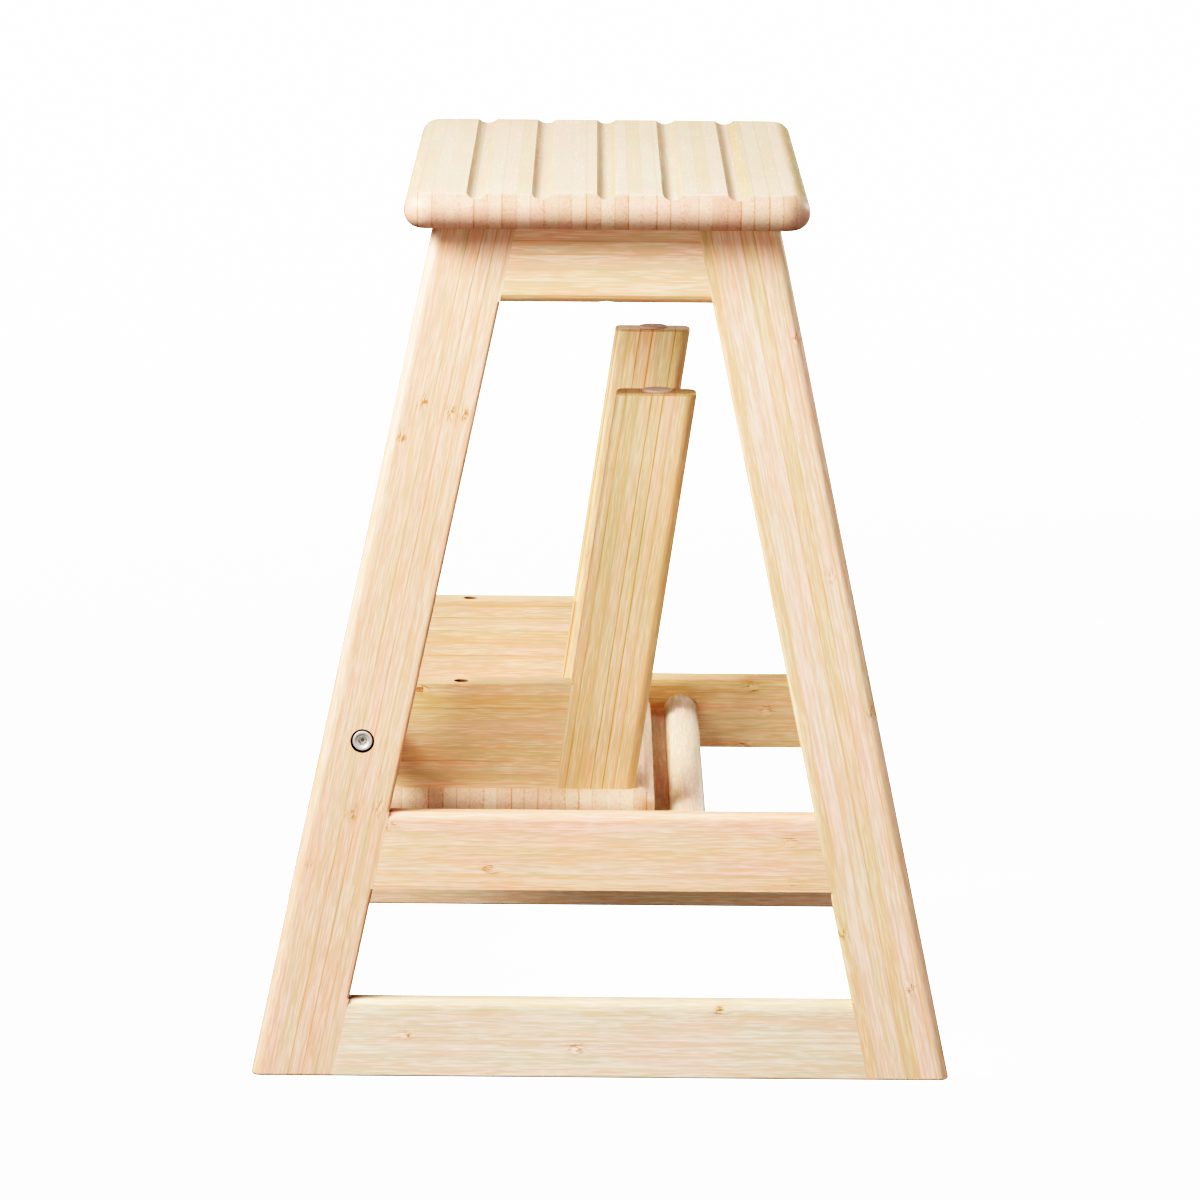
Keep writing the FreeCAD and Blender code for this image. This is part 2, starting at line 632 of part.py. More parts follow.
def leg_front(z):
    """Y of the step leg's rounded edge at height z (folded)."""
    return D("step_leg_front") + D("step_leg_slope") * (Q.of(z) - D("step_rail_low"))


JOINT_DOWELS = []
for sx in (-1.0, 1.0):
    for z in (168.0, 192.0):
        JOINT_DOWELS.append((V(sx * rail_mid_x, (leg_front(z) - D("step_leg_cut_width")).n, z), sx))

for side in ("right", "left"):
    sx = SIGN[side]
    x_low = bearing.n - thick.n if sx > 0 else -bearing.n
    # side rail
    label = "%s_step_rail" % side
    body = new_body(label)
    body.Placement = FreeCAD.Placement(V(x_low, 0, 0), FreeCAD.Rotation())
    body.setExpression(".Placement.Base.x", "Dims.step_half_width - Dims.stock_thick" if sx > 0 else "-1 * Dims.step_half_width")
    lo, hi = D("step_rail_low"), D("step_rail_top")
    sk = sketch_on(body, "YZ_Plane", label + "_outline")
    add_loop(sk, [(D("step_rail_end"), lo), (leg_front(lo) - D("step_leg_cut_width"), lo), (leg_front(hi) - D("step_leg_cut_width"), hi), (D("step_rail_end"), hi)])
    pad(body, sk, label + "_board", thick)
    fillet(body, label + "_end_round", Q.of(12.0), lambda e: along(e, V(1, 0, 0)) and abs(mid(e).y - D("step_rail_end").n) < 0.01 and mid(e).z > 200.0)
    drill(body, label + "_pivot_hole", V(sx * (bearing.n + 2.0), D("pivot_y").n, D("pivot_z").n), V(-sx, 0, 0), thick + 4.0, D("bolt_dia") / 2.0 + 0.08)
    drill(body, label + "_nut_recess", V(sx * (bearing.n - thick.n - 2.0), D("pivot_y").n, D("pivot_z").n), V(sx, 0, 0), Q.of(2.0 + NUT_DEPTH), Q.of(8.6))
    drill(body, label + "_screw_bore", V(sx * rail_mid_x, SCREW_Y, hi.n + 1.0), V(0, 0, -1), Q.of(31.0), D("step_screw_bore_dia") / 2.0)
    drill(body, label + "_screw_hole", V(sx * rail_mid_x, SCREW_Y, hi.n + 1.0), V(0, 0, -1), Q.of(70.0), D("screw_dia") / 2.0 + 0.2)
    for i, p in enumerate(BOARD_DOWELS):
        if p.x * sx > 0 and p.y < -30.0:
            drill(body, "%s_dowel_hole_%d" % (label, i), p - V(0, 0, 1), V(0, 0, 1), Q.of(12.5), DOWEL_HOLE_R)
    for i, (p, s2) in enumerate(JOINT_DOWELS):
        if s2 == sx:
            drill(body, "%s_joint_hole_%d" % (label, i), p + V(0, 1, 0), V(0, -1, 0), Q.of(22.0), DOWEL_HOLE_R)
    # leg: its free end is up while the step is folded
    label = "%s_step_leg" % side
    body = new_body(label)
    body.Placement = FreeCAD.Placement(V(x_low, 0, 0), FreeCAD.Rotation())
    body.setExpression(".Placement.Base.x", "Dims.step_half_width - Dims.stock_thick" if sx > 0 else "-1 * Dims.step_half_width")
    end = D("step_leg_end")
    front_lo, front_hi = leg_front(lo), leg_front(end)
    wide = D("step_leg_cut_width")
    sk = sketch_on(body, "YZ_Plane", label + "_outline")
    add_loop(sk, [(front_lo - wide, lo), (front_lo, lo), (front_hi, end), (front_hi - wide, end)])
    pad(body, sk, label + "_board", thick)

    def slanted(e, front):
        if e.Curve.TypeId != "Part::GeomLine" or e.Length < 150:
            return False
        m = mid(e)
        edge_y = leg_front(m.z).n - (0.0 if front else wide.n)
        return abs(m.y - edge_y) < 0.05
    fillet(body, label + "_front_round", D("step_leg_round"), lambda e: slanted(e, True))
    fillet(body, label + "_rear_round", D("step_leg_rear_round"), lambda e: slanted(e, False))
    # square corner where the side rail butts against the leg
    sk = sketch_on(body, "YZ_Plane", label + "_joint_seat")
    keep = D("step_leg_rear_round") + 0.8
    add_loop(sk, [(leg_front(lo) - wide, lo), (leg_front(lo) - wide + keep, lo), (leg_front(hi) - wide + keep, hi), (leg_front(hi) - wide, hi)])
    pad(body, sk, label + "_joint_corner", thick)
    fillet(body, label + "_end_round", D("foot_round"), lambda e: abs(mid(e).z - end.n) < 1e-3 and abs(e.valueAt(e.FirstParameter).z - end.n) < 1e-3)
    for i, p in enumerate(BOARD_DOWELS):
        if p.x * sx > 0 and p.y > -30.0:
            drill(body, "%s_dowel_hole_%d" % (label, i), p - V(0, 0, 1), V(0, 0, 1), Q.of(12.5), DOWEL_HOLE_R)
    for i, (p, s2) in enumerate(JOINT_DOWELS):
        if s2 == sx:
            drill(body, "%s_joint_hole_%d" % (label, i), p - V(0, 1, 0), V(0, 1, 0), Q.of(22.0), DOWEL_HOLE_R)
    # round foot pad on the leg's end
    label = "%s_step_foot_pad" % side
    body = new_body(label)
    y = (leg_front(end) - wide / 2.0)
    body.Placement = FreeCAD.Placement(V(sx * rail_mid_x, y.n, end.n), FreeCAD.Rotation())
    sk = sketch_on(body, "XY_Plane", label + "_disc")
    add_circle(sk, 0.0, 0.0, D("foot_pad_dia") / 2.0)
    pad(body, sk, label + "_pad", D("foot_pad_thick"))
    fillet(body, label + "_edge", Q.of(0.5), lambda e: mid(e).z > 1.0)

for i, p in enumerate(BOARD_DOWELS):
    drill(step_board, "step_board_dowel_hole_%d" % i, p + V(0, 0, 1), V(0, 0, -1), Q.of(12.5), DOWEL_HOLE_R)
for i, sx in enumerate((-1.0, 1.0)):
    drill(step_board, "step_board_screw_hole_%d" % i, V(sx * rail_mid_x, SCREW_Y, D("step_rail_low").n + 1.0), V(0, 0, -1), Q.of(14.0), D("screw_dia") / 2.0 + 0.05)
group("step_dowels",
      [rod("step_board_dowel_%d" % i, p - V(0, 0, 11.0), V(0, 0, 1), D("short_dowel_length"), DOWEL_R) for i, p in enumerate(BOARD_DOWELS)]
      + [rod("step_joint_dowel_%d" % i, p - V(0, 20.0, 0), V(0, 1, 0), D("dowel_length"), DOWEL_R) for i, (p, s2) in enumerate(JOINT_DOWELS)])
group("step_screws", [make_screw("step_screw_%d" % i, V(sx * rail_mid_x, SCREW_Y, D("step_rail_top").n - 30.0), V(0, 0, -1), 43.0, D("step_screw_head_dia")) for i, sx in enumerate((-1.0, 1.0))])

# ---------------------------------------------------------------- checks and files
doc.recompute()
for obj in doc.Objects:
    if "Invalid" in obj.State or "Error" in obj.State:
        raise RuntimeError("%s failed: %s" % (obj.Label, obj.State))
for node in NODES:
    shape = node.Shape
    if shape.isNull() or not shape.isValid():
        raise RuntimeError("%s has a bad shape" % node.Label)
    if len(shape.Solids) < 1:
        raise RuntimeError("%s has no solid" % node.Label)
os.makedirs("parts", exist_ok=True)
for node in NODES:
    node.Shape.exportStep("parts/%s.step" % node.Label)
    box = node.Shape.BoundBox
    print("%-24s solids %2d  vol %9.1f  x %7.1f %7.1f  y %7.1f %7.1f  z %6.1f %6.1f" % (
        node.Label, len(node.Shape.Solids), sum(s.Volume for s in node.Shape.Solids), box.XMin, box.XMax, box.YMin, box.YMax, box.ZMin, box.ZMax))
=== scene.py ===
import math

import bpy
from mathutils import Matrix, Vector

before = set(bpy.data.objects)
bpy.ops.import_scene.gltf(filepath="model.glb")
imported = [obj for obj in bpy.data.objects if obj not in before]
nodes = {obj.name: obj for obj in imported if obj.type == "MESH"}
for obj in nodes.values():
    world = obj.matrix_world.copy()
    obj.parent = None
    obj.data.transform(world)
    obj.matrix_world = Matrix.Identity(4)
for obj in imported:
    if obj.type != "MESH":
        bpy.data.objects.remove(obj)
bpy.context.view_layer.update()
scene = bpy.context.scene
scene.view_settings.view_transform = "Standard"
scene.view_settings.look = "None"


def film(x):
    """Film-like response: a deep toe and a long shoulder that goes to white."""
    y = 1.0 - math.exp(-x ** 1.25)
    return y * (1.0 - math.exp(-(y / 0.2) ** 1.3)) if y > 0.0 else 0.0


def tone_curve(top=4.0, white=3.6):
    view = scene.view_settings
    view.use_curve_mapping = True
    curves = view.curve_mapping
    curves.black_level = (0.0, 0.0, 0.0)
    curves.white_level = (top, top, top)
    line = curves.curves[3]
    for x in (0.04, 0.08, 0.12, 0.17, 0.22, 0.28, 0.35, 0.45, 0.6, 0.8, 1.0, 1.3, 1.6, 2.0, 2.4, 2.8, 3.2, 3.6):
        line.points.new(x / top, min(1.0, film(x) / film(white)))
    line.points[-1].location = (1.0, 1.0)
    curves.update()


tone_curve()


# ------------------------------------------------------------------ camera
def make_camera():
    place = Vector((3.466, -0.0095, 0.906))
    down, turn, roll = math.radians(10.964), math.radians(0.129), math.radians(0.489)
    f = Vector((-math.cos(down) * math.cos(turn), math.cos(down) * math.sin(turn), -math.sin(down)))
    r = f.cross(Vector((0, 0, 1))).normalized()
    u = r.cross(f).normalized()
    x = math.cos(roll) * r + math.sin(roll) * u
    y = -math.sin(roll) * r + math.cos(roll) * u
    data = bpy.data.cameras.new("camera")
    data.sensor_width = 36.0
    data.lens = 178.37
    data.clip_end = 60.0
    cam = bpy.data.objects.new("camera", data)
    scene.collection.objects.link(cam)
    m = Matrix.Identity(4)
    for row in range(3):
        m[row][0], m[row][1], m[row][2], m[row][3] = x[row], y[row], -f[row], place[row]
    cam.matrix_world = m
    scene.camera = cam


make_camera()


# ------------------------------------------------------------------ node helpers
class Net:
    """Short hand for building a shader tree."""

    def __init__(self, tree):
        self.tree = tree

    def new(self, kind, **props):
        n = self.tree.nodes.new(kind)
        for k, v in props.items():
            setattr(n, k, v)
        return n

    def put(self, socket, value):
        if isinstance(value, bpy.types.NodeSocket):
            self.tree.links.new(value, socket)
        elif value is not None:
            socket.default_value = value

    def m(self, op, a, b=None, c=None, clamp=False):
        n = self.new("ShaderNodeMath", operation=op, use_clamp=clamp)
        for i, v in enumerate((a, b, c)):
            if v is not None:
                self.put(n.inputs[i], v)
        return n.outputs[0]

    def vm(self, op, a, b=None, c=None, scale=None):
        n = self.new("ShaderNodeVectorMath", operation=op)
        for i, v in enumerate((a, b, c)):
            if v is not None:
                self.put(n.inputs[i], v)
        if scale is not None:
            self.put(n.inputs["Scale"], scale)
        return n.outputs["Value"] if op in ("DOT_PRODUCT", "LENGTH", "DISTANCE") else n.outputs[0]

    def xyz(self, x=0.0, y=0.0, z=0.0):
        n = self.new("ShaderNodeCombineXYZ")
        for i, v in enumerate((x, y, z)):
            self.put(n.inputs[i], v)
        return n.outputs[0]

    def split(self, v):
        n = self.new("ShaderNodeSeparateXYZ")
        self.put(n.inputs[0], v)
        return n.outputs[0], n.outputs[1], n.outputs[2]

    def mix(self, fac, a, b, blend="MIX"):
        n = self.new("ShaderNodeMix", data_type="RGBA", blend_type=blend, clamp_factor=True)
        self.put(n.inputs[0], fac)
        self.put(n.inputs[6], a)
        self.put(n.inputs[7], b)
        return n.outputs[2]

    def lerp(self, fac, a, b):
        n = self.new("ShaderNodeMix", data_type="FLOAT", clamp_factor=True)
        self.put(n.inputs[0], fac)
        self.put(n.inputs[2], a)
        self.put(n.inputs[3], b)
        return n.outputs[0]

    def ramp(self, v, lo, hi, a=0.0, b=1.0, smooth=True):
        n = self.new("ShaderNodeMapRange", interpolation_type="SMOOTHSTEP" if smooth else "LINEAR", clamp=True)
        for i, x in enumerate((v, lo, hi, a, b)):
            self.put(n.inputs[i], x)
        return n.outputs[0]

    def noise(self, v, scale=1.0, detail=2.0, rough=0.5, dims="3D", w=None, distort=0.0):
        n = self.new("ShaderNodeTexNoise", noise_dimensions=dims)
        if v is not None:
            self.put(n.inputs["Vector"], v)
        if w is not None:
            self.put(n.inputs["W"], w)
        self.put(n.inputs["Scale"], scale)
        self.put(n.inputs["Detail"], detail)
        self.put(n.inputs["Roughness"], rough)
        self.put(n.inputs["Distortion"], distort)
        return n.outputs["Fac"] if "Fac" in n.outputs else n.outputs[0]

    def hash(self, w):
        n = self.new("ShaderNodeTexWhiteNoise", noise_dimensions="1D")
        self.put(n.inputs["W"], w)
        return n.outputs["Value"], n.outputs["Color"]

    def hash2(self, a, b):
        n = self.new("ShaderNodeTexWhiteNoise", noise_dimensions="2D")
        self.put(n.inputs["Vector"], self.xyz(a, b, 0.0))
        return n.outputs["Value"], n.outputs["Color"]


def srgb(r, g, b):
    """8-bit display colour to a linear one."""
    out = []
    for c in (r, g, b):
        c = c / 255.0
        out.append(c / 12.92 if c <= 0.04045 else ((c + 0.055) / 1.055) ** 2.4)
    return (out[0], out[1], out[2], 1.0)


# ------------------------------------------------------------------ laminated bamboo
def bamboo_group():
    """Strips glued side by side. Board coordinates in metres: x along the fibres, y across the strips.

    The result is the base colour times tints, so that one pattern serves paler and darker boards."""
    tree = bpy.data.node_groups.new("bamboo_strips", "ShaderNodeTree")
    face = tree.interface
    for name, kind, value in (
        ("Board", "NodeSocketVector", None), ("Face", "NodeSocketVector", None), ("Seed", "NodeSocketFloat", 0.0),
        ("Pitch", "NodeSocketFloat", 0.0078), ("Base", "NodeSocketColor", (0.8, 0.53, 0.35, 1.0)),
        ("Strips", "NodeSocketFloat", 1.0), ("Fibres", "NodeSocketFloat", 1.0), ("Lines", "NodeSocketFloat", 1.0),
        ("Edge", "NodeSocketFloat", 1.0), ("Knots", "NodeSocketFloat", 1.0),
        ("Olive", "NodeSocketFloat", 0.0), ("EndTone", "NodeSocketColor", (1.0, 1.0, 1.0, 1.0)),
    ):
        s = face.new_socket(name=name, in_out="INPUT", socket_type=kind)
        if value is not None:
            s.default_value = value
    for name, kind in (("Color", "NodeSocketColor"), ("Height", "NodeSocketFloat"), ("Streak", "NodeSocketFloat")):
        face.new_socket(name=name, in_out="OUTPUT", socket_type=kind)
    g = Net(tree)
    inp = g.new("NodeGroupInput").outputs
    out = g.new("NodeGroupOutput").inputs
    board, facing, seed, pitch = inp["Board"], inp["Face"], inp["Seed"], inp["Pitch"]
    u, v, w = g.split(board)
    # strips of uneven width with straight joints
    sway = g.noise(None, scale=1.0, detail=1.0, dims="1D", w=g.m("ADD", g.m("MULTIPLY", v, 95.0), g.m("MULTIPLY", seed, 3.71)))
    v_var = g.m("ADD", v, g.m("MULTIPLY", g.m("SUBTRACT", sway, 0.5), 0.0018))
    t = g.m("ADD", g.m("DIVIDE", v_var, pitch), g.m("MULTIPLY", seed, 0.37))
    idx = g.m("FLOOR", t)
    f = g.m("SUBTRACT", t, idx)
    key = g.m("ADD", g.m("MULTIPLY", idx, 1.37), g.m("MULTIPLY", seed, 11.13))
    r1, rc = g.hash(key)
    r2, r3, r4 = g.split(rc)
    # knots: now and then along a strip, at another place in each strip
    knot_gap = 0.23
    s = g.m("ADD", g.m("DIVIDE", u, knot_gap), g.m("MULTIPLY", r4, 7.0))
    cell = g.m("FLOOR", s)
    k1, kc = g.hash2(g.m("MULTIPLY", cell, 1.91), key)
    k2, k3, k4 = g.split(kc)
    du = g.m("MULTIPLY", g.m("SUBTRACT", g.m("SUBTRACT", s, cell), g.m("ADD", 0.3, g.m("MULTIPLY", k1, 0.4))), knot_gap)
    off = g.m("SUBTRACT", f, g.m("ADD", 0.35, g.m("MULTIPLY", k3, 0.3)))
    q = g.m("DIVIDE", du, 0.0042)
    p = g.m("MULTIPLY", off, 2.6)
    halo = g.m("POWER", 2.718, g.m("MULTIPLY", g.m("ADD", g.m("MULTIPLY", q, q), g.m("MULTIPLY", p, p)), -1.0))
    halo = g.m("MULTIPLY", halo, g.m("MULTIPLY", g.ramp(k2, 0.45, 0.7), inp["Knots"]))
    # fibres, in four sizes, broken at each joint and pushed aside by a knot
    shift = g.m("MULTIPLY", idx, 0.731)
    fv = g.m("ADD", g.m("ADD", v, g.m("MULTIPLY", g.m("MULTIPLY", halo, 0.0009), g.m("SINE", g.m("MULTIPLY", f, 9.0)))), shift)

    def fibre(along, across, detail=1.0, lo=0.36, hi=0.64, extra=0.0):
        n = g.noise(g.xyz(g.m("ADD", g.m("MULTIPLY", u, along), g.m("ADD", extra, seed)), g.m("MULTIPLY", fv, across), g.m("MULTIPLY", w, across)), detail=detail, rough=0.5)
        return g.ramp(n, lo, hi, smooth=False)

    band = fibre(7.0, 260.0)
    long_f = fibre(22.0, 800.0, extra=3.3)
    mid_f = fibre(60.0, 1000.0, detail=0.0, lo=0.36, hi=0.64, extra=7.7)
    dash = fibre(120.0, 1200.0, detail=0.0, lo=0.36, hi=0.64, extra=11.1)
    hue = fibre(32.0, 620.0, lo=0.38, hi=0.62, extra=15.5)
    # each strip is denser in fibre towards the side that was the culm's outside
    flip = g.m("GREATER_THAN", r3, 0.35)
    side = g.lerp(flip, g.m("SUBTRACT", 1.0, f), f)
    dense = g.m("POWER", side, 3.0)
    # strip colour
    strips = inp["Strips"]
    one = (1.0, 1.0, 1.0, 1.0)
    slow = g.noise(g.xyz(g.m("MULTIPLY", u, 5.0), shift, g.m("MULTIPLY", seed, 1.7)), detail=2.0, rough=0.5)
    pale = g.m("MULTIPLY", g.m("ADD", g.m("MULTIPLY", r1, 0.8), g.m("MULTIPLY", g.m("SUBTRACT", slow, 0.5), 1.1)), strips, clamp=True)
    tint = g.mix(pale, one, (1.045, 1.10, 1.20, 1.0))
    tint = g.mix(g.m("MULTIPLY", g.ramp(r2, 0.45, 1.0), strips), tint, g.mix(1.0, tint, (1.01, 0.945, 0.945, 1.0), "MULTIPLY"))
    tint = g.mix(g.m("MULTIPLY", g.ramp(r2, 0.4, 0.0), strips), tint, g.mix(1.0, tint, (0.965, 0.955, 0.86, 1.0), "MULTIPLY"))
    # fibre pigment, warm in places and olive in others
    pigment = g.m("ADD", g.m("MULTIPLY", band, 0.10), g.m("MULTIPLY", long_f, 0.22))
    pigment = g.m("ADD", pigment, g.m("MULTIPLY", g.m("MULTIPLY", mid_f, g.m("ADD", 0.4, g.m("MULTIPLY", long_f, 0.6))), 0.80))
    pigment = g.m("ADD", pigment, g.m("MULTIPLY", g.m("MULTIPLY", dash, g.m("ADD", 0.4, g.m("MULTIPLY", band, 0.6))), 0.55))
    pigment = g.m("MULTIPLY", g.m("SUBTRACT", pigment, 0.06), g.m("MULTIPLY", inp["Fibres"], 1.1))
    pigment = g.m("ADD", pigment, g.m("MULTIPLY", g.m("MULTIPLY", dense, g.m("ADD", 0.4, g.m("MULTIPLY", long_f, 0.6))), inp["Edge"]))
    stain = g.mix(hue, (0.92, 0.75, 0.63, 1.0), (0.80, 0.77, 0.67, 1.0))
    tint = g.mix(1.0, tint, g.mix(pigment, one, stain), "MULTIPLY")
    # joints, some open to the eye and some lost
    near = g.m("SUBTRACT", 0.5, g.m("ABSOLUTE", g.m("SUBTRACT", f, 0.5)))
    near = g.m("MULTIPLY", near, pitch)
    j1, _ = g.hash(g.m("ADD", g.m("MULTIPLY", g.m("ROUND", t), 2.77), g.m("MULTIPLY", seed, 5.31)))
    line = g.m("MULTIPLY", g.ramp(near, 0.00048, 0.0001), g.ramp(j1, 0.1, 0.95, 0.15, 1.0))
    line = g.m("MULTIPLY", line, g.m("MULTIPLY", inp["Lines"], g.m("ADD", 0.5, g.m("MULTIPLY", g.m("ADD", slow, long_f), 0.35))), clamp=True)
    tint = g.mix(1.0, tint, g.mix(line, one, g.mix(inp["Olive"], (0.78, 0.58, 0.38, 1.0), (0.74, 0.64, 0.42, 1.0))), "MULTIPLY")
    # knots: a cluster of short strokes with paler wood between them
    stroke = g.noise(g.xyz(g.m("MULTIPLY", u, 230.0), g.m("MULTIPLY", fv, 1050.0), g.m("MULTIPLY", w, 1050.0)), detail=2.0, rough=0.55)
    mark = g.m("MULTIPLY", halo, g.ramp(stroke, 0.47, 0.62))
    light = g.m("MULTIPLY", halo, g.ramp(stroke, 0.46, 0.34))
    tint = g.mix(1.0, tint, g.mix(mark, one, (0.66, 0.45, 0.28, 1.0)), "MULTIPLY")
    tint = g.mix(1.0, tint, g.mix(g.m("MULTIPLY", light, 0.6), one, (1.06, 1.07, 1.08, 1.0)), "MULTIPLY")
    # end grain: cut fibre ends, strip beside strip
    n_u, n_v, n_w = g.split(facing)
    end = g.ramp(g.m("ABSOLUTE", n_u), 0.03, 0.14)
    dots = g.noise(g.xyz(g.m("MULTIPLY", u, 60.0), g.m("MULTIPLY", fv, 900.0), g.m("MULTIPLY", w, 900.0)), detail=2.0, rough=0.6)
    dots = g.ramp(dots, 0.42, 0.66)
    end_tint = g.mix(g.ramp(r2, 0.25, 0.8), (1.01, 0.985, 0.965, 1.0), (1.0, 0.93, 0.915, 1.0))
    end_tint = g.mix(1.0, end_tint, g.mix(g.ramp(r1, 0.3, 1.0), one, (0.915, 0.875, 0.84, 1.0)), "MULTIPLY")
    end_tint = g.mix(1.0, end_tint, g.mix(g.m("MULTIPLY", dots, g.m("ADD", 0.35, g.m("MULTIPLY", dense, 0.6))), one, (0.79, 0.69, 0.59, 1.0)), "MULTIPLY")
    end_line = g.m("MULTIPLY", g.ramp(near, 0.00055, 0.00012), g.ramp(j1, 0.0, 1.0, 0.15, 1.0))
    end_tint = g.mix(1.0, end_tint, g.mix(end_line, one, (0.80, 0.65, 0.50, 1.0)), "MULTIPLY")
    end_tint = g.mix(1.0, end_tint, inp["EndTone"], "MULTIPLY")
    tint = g.mix(end, tint, end_tint)
    # drift between rosy and greenish cream, a few strips wide
    drift = g.noise(g.xyz(g.m("MULTIPLY", u, 14.0), g.m("ADD", g.m("MULTIPLY", v, 75.0), g.m("MULTIPLY", seed, 2.3)), g.m("MULTIPLY", w, 75.0)), detail=2.0, rough=0.6)
    rosy = g.mix(g.ramp(drift, 0.34, 0.66), (1.03, 0.965, 0.99, 1.0), (0.97, 1.03, 1.01, 1.0))
    tint = g.mix(1.0, tint, rosy, "MULTIPLY")
    light_drift = g.noise(board, scale=11.0, detail=2.0)
    tint = g.mix(1.0, tint, g.mix(g.ramp(light_drift, 0.35, 0.65), (1.02, 1.02, 1.03, 1.0), (0.98, 0.975, 0.96, 1.0)), "MULTIPLY")
    g.put(out["Color"], g.mix(1.0, inp["Base"], tint, "MULTIPLY"))
    height = g.m("ADD", g.m("MULTIPLY", mid_f, -0.4), g.m("MULTIPLY", dash, -0.3))
    height = g.m("SUBTRACT", height, g.m("MULTIPLY", line, 0.8))
    height = g.m("SUBTRACT", height, g.m("MULTIPLY", mark, 0.6))
    g.put(out["Height"], height)
    g.put(out["Streak"], g.m("MULTIPLY", g.m("ADD", long_f, mid_f), 0.5))
    return tree


BAMBOO = bamboo_group()


def bamboo(name, origin, along, across, seed, base=(0.80, 0.535, 0.355), pitch=0.0078, strips=1.0, fibres=1.0, lines=0.5, edge=0.25, knots=1.0, olive=0.0, end_tone=(1.0, 1.0, 1.0), rough=0.5, shade_and_grime_ring=None, pit=None):
    """Bamboo laid along one direction of a board, with its strips side by side in another."""
    a = Vector(along).normalized()
    b = Vector(across)
    b = (b - a * b.dot(a)).normalized()
    c = a.cross(b)
    turn = Matrix((a, b, c))
    mat = bpy.data.materials.new(name)
    mat.use_nodes = True
    tree = mat.node_tree
    tree.nodes.clear()
    g = Net(tree)
    coord = g.new("ShaderNodeTexCoord")
    spin = turn.to_euler("XYZ")
    start = -(turn @ Vector(origin))
    place = g.new("ShaderNodeMapping", vector_type="POINT")
    g.put(place.inputs["Vector"], coord.outputs["Object"])
    place.inputs["Rotation"].default_value = spin
    place.inputs["Location"].default_value = start
    facing = g.new("ShaderNodeMapping", vector_type="POINT")
    g.put(facing.inputs["Vector"], coord.outputs["Normal"])
    facing.inputs["Rotation"].default_value = spin
    wood = g.new("ShaderNodeGroup")
    wood.node_tree = BAMBOO
    g.put(wood.inputs["Board"], place.outputs[0])
    g.put(wood.inputs["Face"], facing.outputs[0])
    wood.inputs["Base"].default_value = (base[0], base[1], base[2], 1.0)
    for socket, value in (("Seed", seed), ("Pitch", pitch), ("Strips", strips), ("Fibres", fibres), ("Lines", lines), ("Edge", edge), ("Knots", knots), ("Olive", olive)):
        wood.inputs[socket].default_value = value
    wood.inputs["EndTone"].default_value = (end_tone[0], end_tone[1], end_tone[2], 1.0)
    color = wood.outputs["Color"]
    if shade_and_grime_ring is not None:
        # painted shade and grime: dark colour on the wall and lip of a bolt's counterbore, standing for the shaded gap
        # round the bolt head as well as grime
        y0, z0, radius = shade_and_grime_ring
        x, y, z = g.split(coord.outputs["Object"])
        dy = g.m("SUBTRACT", y, y0)
        dz = g.m("SUBTRACT", z, z0)
        r = g.m("SQRT", g.m("ADD", g.m("MULTIPLY", dy, dy), g.m("MULTIPLY", dz, dz)))
        fray = g.noise(coord.outputs["Object"], scale=900.0, detail=2.0)
        mask = g.ramp(g.m("ADD", r, g.m("MULTIPLY", fray, 0.0003)), radius + 0.00045, radius + 0.0002)
        color = g.mix(mask, color, (0.10, 0.062, 0.03, 1.0))
    if pit is not None:
        # painted shade on the wall of a vertical screw bore: mottled dark brown where the hole lies in shade
        x0, y0, radius, mouth = pit
        x, y, z = g.split(coord.outputs["Object"])
        dx = g.m("SUBTRACT", x, x0)
        dy = g.m("SUBTRACT", y, y0)
        r = g.m("SQRT", g.m("ADD", g.m("MULTIPLY", dx, dx), g.m("MULTIPLY", dy, dy)))
        inside = g.m("MULTIPLY", g.ramp(r, radius + 0.00012, radius + 0.00004), g.ramp(z, mouth, mouth - 0.0006))
        bore_shade_mottle = g.noise(coord.outputs["Object"], scale=1400.0, detail=2.0)
        color = g.mix(inside, color, g.mix(bore_shade_mottle, (0.16, 0.09, 0.045, 1.0), (0.30, 0.18, 0.095, 1.0)))
    shader = g.new("ShaderNodeBsdfPrincipled")
    g.put(shader.inputs["Base Color"], color)
    g.put(shader.inputs["Roughness"], g.m("ADD", rough, g.m("MULTIPLY", wood.outputs["Streak"], -0.08)))
    shader.inputs["Specular IOR Level"].default_value = 0.3
    bump = g.new("ShaderNodeBump")
    bump.inputs["Strength"].default_value = 0.3
    bump.inputs["Distance"].default_value = 0.00015
    g.put(bump.inputs["Height"], wood.outputs["Height"])
    g.put(shader.inputs["Normal"], bump.outputs[0])
    end_node = g.new("ShaderNodeOutputMaterial")
    g.put(end_node.inputs["Surface"], shader.outputs[0])
    return mat


def give(node, mat):
    """Every slot of a CAD node takes this material."""
    slots = nodes[node].material_slots
    if not slots:
        nodes[node].data.materials.append(mat)
    for s in slots:
        s.material = mat


def direction(x, y, z):
    return Vector((x, y, z)).normalized()


SPLAY = math.radians(5.0)
PIVOT = (-0.1352, 0.1907)
